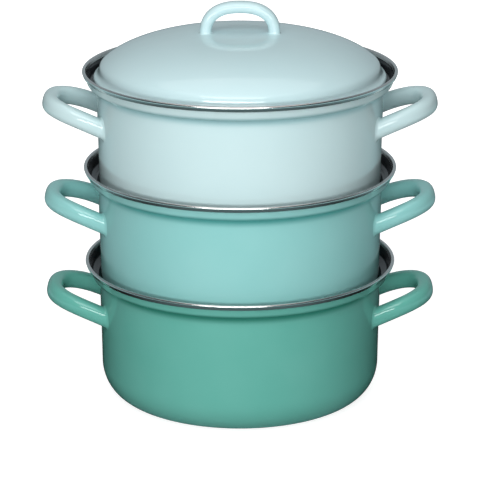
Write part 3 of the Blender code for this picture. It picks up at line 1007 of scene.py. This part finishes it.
def matt(name, colour, glow):
    """A matt material with a base colour and a glow of its own colour, its tree and its shader."""
    material, tree, shader = new_finish(name)
    set_inputs(tree, shader, Base_Color=(*colour, 1.0), Roughness=1.0, Specular_IOR_Level=0.0,
               Emission_Color=(*glow, 1.0), Emission_Strength=1.0)
    return material, tree, shader


print("cloth gives back", CLOTH_COLOUR[0], "of the light, and glows by itself")

# %% [markdown]
# The paper glows a little less near the pot, so that a shadow shows there. The cloth on the
# table is darkest near the pot, as a painted shadow of it, and the tent is darkest in front.

# %% Paper and cloth
BEHIND = (-0.95, -0.50)     # how squarely in front a place lies: 1 is in front, -1 behind
BEHIND_SHARE = 0.15         # this much of the glow is left behind the pot
IN_FRONT = (0.1, 1.0)


def white_paper(name, colour, near_glow, near, far):
    """Matt paper that comes out white: its glow grows from a share near the pot to 1 far off."""
    material, tree, shader = matt(name, (colour, colour, colour), (1.0, 1.0, 1.0))
    glow = spread(tree, from_axis(tree)[0], near, far, near_glow, 1.0)
    set_inputs(tree, shader, Emission_Strength=calculated(tree, "MULTIPLY", seen_directly(tree), glow))
    return material


def table_cloth(name, shade, near, far, front):
    """Cloth laid on the table, whose glow is the larger of two shares of its shade.

    One grows from the near to the far radius, so that a painted shadow of the pot lies near it,
    and falls again behind the pot. The other grows towards the place straight in front.
    """
    material, tree, shader = matt(name, CLOTH_COLOUR, shade)
    away, ahead = from_axis(tree)
    # painted shadow of the pot: this share is 0 near it and grows outward
    outward = spread(tree, away, near, far, 0.0, 1.0)
    beside = spread(tree, ahead, *BEHIND, BEHIND_SHARE, 1.0, smooth=True)
    before = spread(tree, ahead, *IN_FRONT, 0.0, front, smooth=True)
    larger = calculated(tree, "MAXIMUM", calculated(tree, "MULTIPLY", outward, beside), before)
    set_inputs(tree, shader, Emission_Strength=larger)
    return material


def tent_cloth(name, shade, front, back, ahead):
    """Grey cloth, whose glow grows from a share of its shade in front to all of it behind the pot."""
    material, tree, shader = matt(name, CLOTH_COLOUR, shade)
    share = spread(tree, place_parts(tree)[1], front, back, ahead, 1.0, smooth=True)
    set_inputs(tree, shader, Emission_Strength=share)
    return material


floor_paper = white_paper("white_paper", colour=0.45, near_glow=0.87, near=0.16, far=0.80)
tent_grey = tent_cloth("tent_grey", shade=(0.33, 0.39, 0.42), front=-1.4, back=2.2, ahead=0.15)
table_grey = table_cloth("table_grey", shade=(0.55, 0.92, 0.98), near=0.25, far=0.80, front=0.18)
print("made", floor_paper.name, tent_grey.name, table_grey.name)

# %% [markdown]
# The floor is one large square, a little under the pot's base so that they don't share a
# plane. The tent is half a sphere, and the cloth on the table is a flat ring. Neither cloth
# is seen, throws a shadow or lights anything: they are only mirrored.

# %% Floor, tent and table cloth
FLOOR_HALF = 8.0
FLOOR_DROP = 0.0004
CLOTH_LIFT = 0.0002
CLOTH_GAP = 0.104           # the cloth on the table ends this far from the axis
TENT_RADIUS = 3.2
TENT_STEPS = 48
TENT_ROWS = 16
TENT_RISE = 0.499 * np.pi   # its arc ends just short of the crown
CROWN_RADIUS = 0.001        # a hole this small stays open at the tent's crown

corners = np.array([[-1, -1, 0], [1, -1, 0], [1, 1, 0], [-1, 1, 0]])
corners = FLOOR_HALF * corners - [0.0, 0.0, FLOOR_DROP]
floor = make_stage("floor", corners, np.array([[0, 1, 2, 3]]), floor_paper)

turns = 2.0 * np.pi * np.arange(TENT_STEPS) / TENT_STEPS
tent_path = arc((0.0, 0.0), (TENT_RADIUS, TENT_RADIUS), 0.0, TENT_RISE, TENT_ROWS)
tent_path = np.concatenate([tent_path, [[CROWN_RADIUS, TENT_RADIUS]]])
tent = turned_points(tent_path, turns)
hung_cloth = make_stage("hung_cloth", tent, grid_faces(len(tent_path), TENT_STEPS), tent_grey)
laid_path = np.array([[CLOTH_GAP, CLOTH_LIFT], [TENT_RADIUS, CLOTH_LIFT]])
laid = turned_points(laid_path, turns)
laid_cloth = make_stage("laid_cloth", laid, grid_faces(len(laid_path), TENT_STEPS), table_grey)
for thing in (hung_cloth, laid_cloth):
    thing.visible_camera = False
    thing.visible_diffuse = False
    thing.visible_shadow = False
print("made", floor.name, hung_cloth.name, laid_cloth.name, "and the tent is", TENT_RADIUS, "m high")

# %% [markdown]
# Three soft lamps light the front: a key over the camera, a low fill that reaches the collars
# and the gutters behind the rims, and one overhead for the lid. The scene was rendered with
# one lamp at a time, and least squares gave the share of each picture with which their sum
# comes nearest to the photograph. The levels were then adjusted. Key and fill stand a
# little to the left, where the photograph is brighter. A fourth lamp, which gloss doesn't
# mirror, keeps the back of the pot from going black.

# %% Lamps
LAMP_AIM = np.array([0.0, 0.0, 0.17])


def make_lamp(name, azimuth, elevation, distance, width, height, level):
    """A rectangular lamp aimed at the pot.

    Azimuth 0 is in front, beside the camera, and 90 is at +X. A level of 1 makes a matt
    surface that faces the lamp look as bright as its own colour.
    """
    data = bpy.data.lights.new(name, "AREA")
    data.shape = "RECTANGLE"
    data.size, data.size_y = width, height
    data.energy = level * (np.pi * distance) ** 2
    lamp = new_object(name, data)
    turn, lift = np.radians([azimuth, elevation])
    away = np.array([np.sin(turn) * np.cos(lift), -np.cos(turn) * np.cos(lift), np.sin(lift)])
    lamp.location = LAMP_AIM + distance * away
    lamp.rotation_euler = (np.pi / 2 - lift, 0.0, turn)
    lamp.visible_camera = False
    return lamp


# Azimuth, elevation, distance, width, height and level of each lamp
LAMPS = {
    "key": (-6.0, 42.0, 1.5, 1.2, 0.6, 0.41),
    "fill": (-5.0, 8.0, 1.3, 1.1, 0.22, 0.49),
    "top_light": (0.0, 80.0, 1.2, 1.5, 1.5, 0.39),
    "back_light": (180.0, 15.0, 1.6, 1.6, 0.8, 0.34),
}
lamps = {name: make_lamp(name, *values) for name, values in LAMPS.items()}
lamps["back_light"].visible_glossy = False
print("watts", {name: round(lamp.data.energy, 2) for name, lamp in lamps.items()})

# %% [markdown]
# The world gives a faint light from all sides, as the walls of a studio do. The camera and
# mirrored rays see it as plain white.

# %% World
world = bpy.data.worlds.new("studio")
bpy.context.scene.world = world
world.use_nodes = True
tree = world.node_tree
tree.nodes.clear()
output = tree.nodes.new("ShaderNodeOutputWorld")
pick = tree.nodes.new("ShaderNodeMixShader")
AMBIENT = 0.04
for index, strength in ((1, AMBIENT), (2, 1.0)):
    background = node_of(tree, "ShaderNodeBackground", Strength=strength, Color=(1.0, 1.0, 1.0, 1.0))
    feed(tree, background.outputs["Background"], pick.inputs[index])
feed(tree, seen_directly(tree), pick.inputs[0])
feed(tree, pick.outputs["Shader"], output.inputs["Surface"])
bpy.context.scene.view_settings.view_transform = "Standard"
print("the world lights the pot by", AMBIENT)
